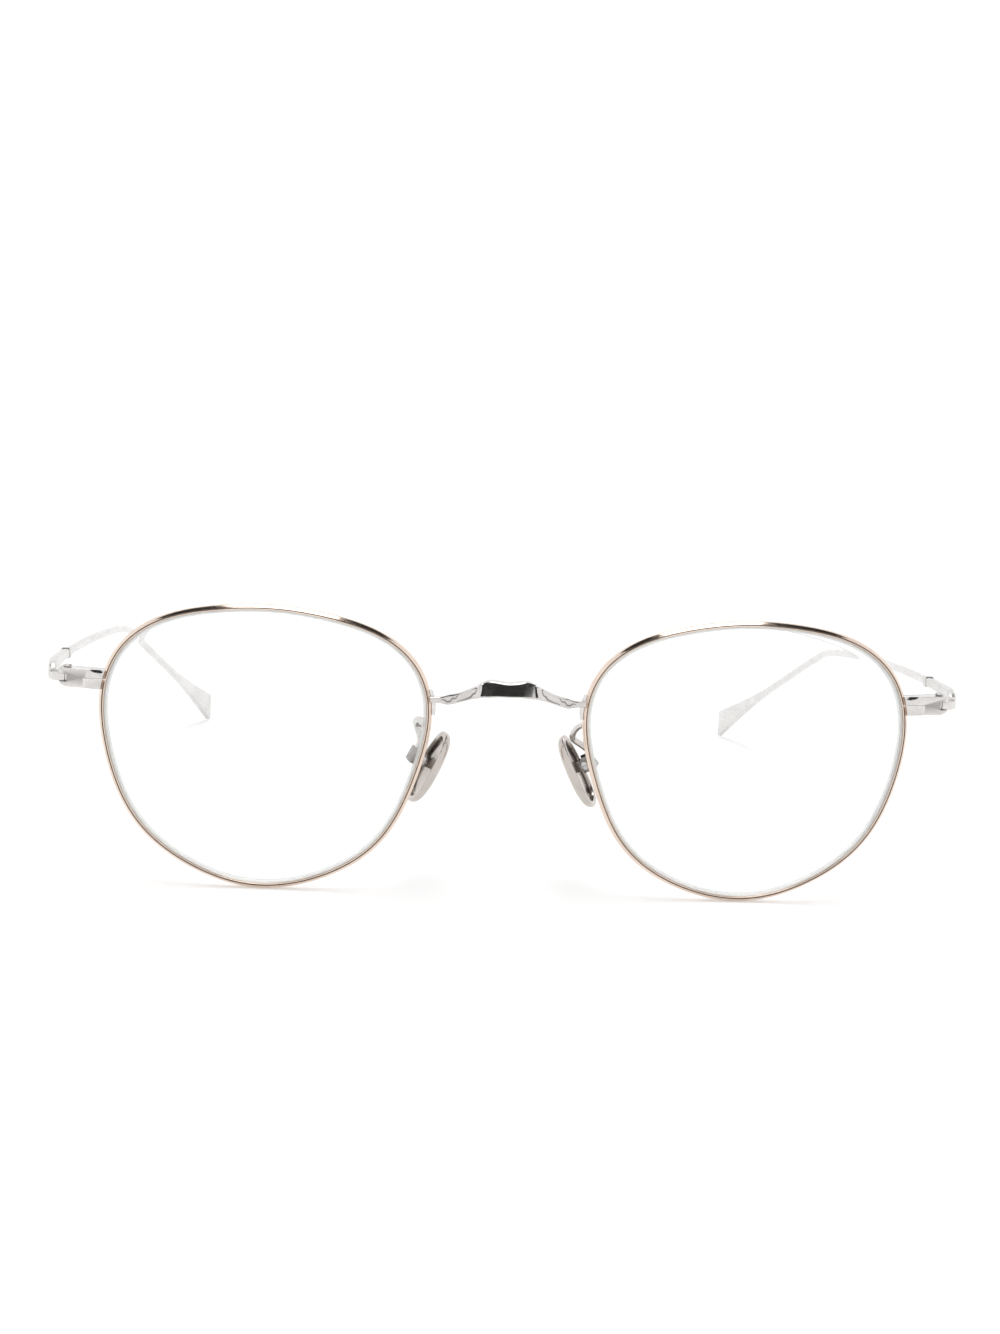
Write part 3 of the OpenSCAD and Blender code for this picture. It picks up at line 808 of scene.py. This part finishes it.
def make_temple(side_name, side):
    """The slim bar from the hinge arm to its flared end."""
    start, end = ARM_LENGTH + 0.03, REACH
    rings = [bar_ring(start, BAR_THICK - 0.12, bar_tall(start) - 0.12, 0.34)]
    count = 230
    for k in range(count + 1):
        a = mix(start + 0.06, end - 0.3, k / count)
        rings.append(bar_ring(a, BAR_THICK, bar_tall(a), 0.38))
    for back, less in ((0.12, 0.14), (0.03, 0.34), (0.0, 0.62)):
        rings.append(bar_ring(end - back, BAR_THICK - less, bar_tall(end) - less, 0.38 - 0.45 * less))
    temple = skin(side_name + "_temple_bar", rings)
    finish_piece(temple, side_name + "_temple", side_name + "_side_arm", "temple_metal", AS_DRAWN,
                 side, sharp=45)


# ---------------------------------------------------------------------------------------------
# Nose pads on their wire arms
# ---------------------------------------------------------------------------------------------
ARM_END = Vector((13.39, 7.6, 20.92))
OUTWARD_LOOP = ((12.1, 3.68, 25.3), (12.6, 5.8, 25.7), (13.7, 7.2, 25.9), (13.5, 8.3, 24.8),
                (13.3, 9.2, 23.9), (12.4, 8.4, 22.6))
INWARD_LOOP = ((11.8, 3.68, 25.9), (11.3, 5.4, 25.9), (10.3, 6.4, 24.9), (10.3, 7.2, 23.7),
               (10.3, 7.9, 22.7), (11.8, 8.3, 22.6))
LOOPS = {"right": INWARD_LOOP, "left": OUTWARD_LOOP}


def curve(p, t):
    """A point of the cubic curve with these four control points."""
    return ((1 - t) ** 3 * p[0] + 3 * (1 - t) ** 2 * t * p[1] + 3 * (1 - t) * t * t * p[2]
            + t ** 3 * p[3])


def make_pad_mount(side_name, side):
    """The bent wire from the back of the rim, and the fork on its end that holds the pad."""
    loop = [Vector(p) for p in LOOPS[side_name]]
    first = loop[:4]
    second = [loop[3], loop[4], loop[5], ARM_END]
    path = [curve(first, k / 26) for k in range(26)] + [curve(second, k / 30) for k in range(31)]
    radii = [0.5 + 0.14 * math.exp(-k / 1.6) for k in range(len(path))]
    arm = skin(side_name + "_pad_arm_wire", wire_rings(path, radii))
    below = move(box_solid("below", (0, -2, -2), (6, 2, BOX_TOP + 0.02)), ON_PAD)
    cut(arm, below)
    finish_piece(arm, side_name + "_pad_arm", "front", "silver_metal", AS_DRAWN, side, sharp=40)

    fork = box_solid(side_name + "_pad_box_fork", (1.55, -BOX_HALF, PIVOT_RISE - 1.15),
                     (BOX_BACK, BOX_HALF, BOX_TOP))
    cut(fork, box_solid("room", (0, -0.9, -2), (3.15, 0.9, 3)))
    soften(fork, 0.14, 3)
    pin = turned("pin", [(BORE, -3), (BORE, 3)], 32)
    move(pin, Matrix.Translation((PIVOT_X, 0, PIVOT_RISE)) @ Matrix.Rotation(math.pi / 2, 4, "X"))
    cut(fork, pin)
    # The pad box takes near-black metal in place of its slot's silver, as painted shade.
    finish_piece(fork, side_name + "_pad_box", "front", "silver_metal", ON_PAD, side, sharp=30,
                 look="painted_shade_metal")


# share of the pad's outline, and height as a share of half its thickness
PAD_PROFILE = ((0.02, -1), (0.3, -0.97), (0.55, -0.88), (0.74, -0.72), (0.87, -0.48), (0.95, -0.18),
               (0.985, 0.15), (1.0, 0.5), (1.0, 0.78), (0.99, 0.92), (0.965, 0.99), (0.92, 1.0),
               (0.875, 0.97), (0.86, 0.88), (0.85, 0.3), (0.79, 0.25), (0.74, 0.29), (0.5, 0.35),
               (0.25, 0.38), (0.02, 0.39))


def make_pad(side_name, side):
    """A domed plate with a raised lip round its back, and a lug with the pivot hole."""
    points = 72
    rings = []
    for share, height in PAD_PROFILE:
        ring = []
        for k in range(points):
            a = 360 * k / points
            narrow = 1 - 0.12 * sin(a)
            c = math.copysign(abs(cos(a)) ** 0.82, cos(a))
            s = math.copysign(abs(sin(a)) ** 0.82, sin(a))
            ring.append(Vector((height * PAD_HALF_THICK, share * PAD_HALF_WIDTH * narrow * c,
                                share * PAD_HALF_LENGTH * s)))
        rings.append(ring)
    pad = skin(side_name + "_nose_pad_plate", rings)
    foot = box_solid("foot", (0.25 * PAD_HALF_THICK - 0.1, -LUG_HALF, PIVOT_RISE - 0.8),
                     (PIVOT_X, LUG_HALF, PIVOT_RISE + 0.8))
    knuckle = turned("knuckle", [(0.74, -LUG_HALF), (0.8, -LUG_HALF + 0.06),
                                 (0.8, LUG_HALF - 0.06), (0.74, LUG_HALF)], 40)
    across = (Matrix.Translation((PIVOT_X, 0, PIVOT_RISE)) @ Matrix.Rotation(math.pi / 2, 4, "X"))
    move(knuckle, across)
    join(pad, foot, knuckle)
    cut(pad, move(turned("pin", [(BORE, -3), (BORE, 3)], 32), across))
    finish_piece(pad, side_name + "_nose_pad", side_name + "_pad", "satin_metal", ON_PAD, side,
                 sharp=40)


make_bridge()
for side_name, side in SIDES:
    make_rim(side_name, side)
    make_lens(side_name, side)
    make_end_pieces(side_name, side)
    make_screws(side_name, side)
    make_hinge_arm(side_name, side)
    make_temple(side_name, side)
    make_pad_mount(side_name, side)
    make_pad(side_name, side)


# ---------------------------------------------------------------------------------------------
# Stage: one round pale floor that curves up into a low wall, under a square soft lamp
# ---------------------------------------------------------------------------------------------
STAGE_RADIUS = 1.2
STAGE_CURVE = 0.3
STAGE_DROP = 0.00002
FLOOR_GLOW = 0.27
WALL_GLOW = 0.23
WALL_TOP = 1.55
FRONT_TOP = 0.70


def wall_top(angle):
    """The wall's height in each direction. It is lowest in front, where the camera stands."""
    return mix(WALL_TOP, FRONT_TOP, max(0, -sin(angle)) ** 4)


def make_stage():
    """A round paper floor that curves up into a wall. It glows a little, so it stays pale."""
    floor_end = STAGE_RADIUS - STAGE_CURVE
    flat = [(share * floor_end, 0) for share in (0.2, 0.5, 0.8, 1)]
    bend = [(floor_end + STAGE_CURVE * sin(90 * k / 12), STAGE_CURVE * (1 - cos(90 * k / 12)))
            for k in range(1, 13)]
    steps = 96
    angles = [360 * k / steps for k in range(steps)]
    rings = [[Vector((r * cos(a), r * sin(a), h)) for a in angles] for r, h in flat + bend]
    for k in range(1, 7):
        rings.append([Vector((STAGE_RADIUS * cos(a), STAGE_RADIUS * sin(a),
                              mix(STAGE_CURVE, wall_top(a), k / 6))) for a in angles])
    points = [p - Vector((0, 0, STAGE_DROP)) for ring in rings for p in ring]
    points.append(Vector((0, 0, -STAGE_DROP)))
    faces = [(len(points) - 1, k, (k + 1) % steps) for k in range(steps)]
    for i in range(len(rings) - 1):
        for k in range(steps):
            faces.append((i * steps + k, (i + 1) * steps + k, (i + 1) * steps + (k + 1) % steps,
                          i * steps + (k + 1) % steps))
    mesh = bpy.data.meshes.new("studio_floor")
    mesh.from_pydata([tuple(p) for p in points], [], faces)
    for face in mesh.polygons:
        face.use_smooth = True
    floor = bpy.data.objects.new("studio_floor", mesh)
    scene.collection.objects.link(floor)

    paper, tree, shader, place = new_material("pale_paper")
    fleck = noise_at(tree, place, 0.3, 4)
    tone = blend_colours(tree, between(tree, fleck, 0, 1), (0.79, 0.79, 0.79), (0.81, 0.81, 0.81))
    tree.links.new(tone, shader.inputs["Base Color"])
    shader.inputs["Roughness"].default_value = 0.9
    shader.inputs["Emission Color"].default_value = (1, 1, 1, 1)
    height = node(tree, "ShaderNodeSeparateXYZ")
    tree.links.new(place, height.inputs["Vector"])
    glow = between(tree, height.outputs["Z"], FLOOR_GLOW, WALL_GLOW, 0, STAGE_CURVE)
    tree.links.new(glow, shader.inputs["Emission Strength"])
    mesh.materials.append(paper)


def make_lamp(name, place, aim, size, radiance):
    """A flat square lamp of an even brightness, facing the point it aims at."""
    data = bpy.data.lights.new(name, "AREA")
    data.shape = "RECTANGLE"
    data.size, data.size_y = size
    data.energy = radiance * math.pi * size[0] * size[1]
    lamp = bpy.data.objects.new(name, data)
    lamp.location = place
    lamp.rotation_mode = "QUATERNION"
    lamp.rotation_quaternion = (Vector(aim) - Vector(place)).to_track_quat("-Z", "Y")
    scene.collection.objects.link(lamp)
    return lamp


make_stage()
make_lamp("overhead_softbox", (0, 0.18, 1.9), (0, 0.18, 0), (0.95, 2.1), 3.0)

world = bpy.data.worlds.new("dim_room")
world.use_nodes = True
world.node_tree.nodes["Background"].inputs["Color"].default_value = (0.03, 0.03, 0.03, 1)
scene.world = world
scene.view_settings.view_transform = "Standard"


# ---------------------------------------------------------------------------------------------
# Camera: a little above the frame, nearly straight in front. AIM and DISTANCE are in millimetres.
# ---------------------------------------------------------------------------------------------
AIM = Vector((-1.56, 0, 34.9))
DISTANCE = 350
LENS_MM = 64.13
SENSOR_MM = 36
YAW = -3.30
PITCH = 8.28
ROLL = 2.40

forward = Vector((-sin(YAW) * cos(PITCH), cos(YAW) * cos(PITCH), -sin(PITCH)))
level = Vector((cos(YAW), sin(YAW), 0))
upright = level.cross(forward)
rightwards = cos(ROLL) * level + sin(ROLL) * upright
upwards = cos(ROLL) * upright - sin(ROLL) * level

camera = bpy.data.objects.new("camera", bpy.data.cameras.new("camera"))
camera.data.lens = LENS_MM
camera.data.sensor_width = SENSOR_MM
camera.data.clip_start = 0.01
turn = Matrix((rightwards, upwards, -forward)).transposed().to_4x4()
camera.matrix_world = (Matrix.Translation(PLACED @ (AIM - DISTANCE * forward)) @ recline @ turn)
scene.collection.objects.link(camera)
scene.camera = camera
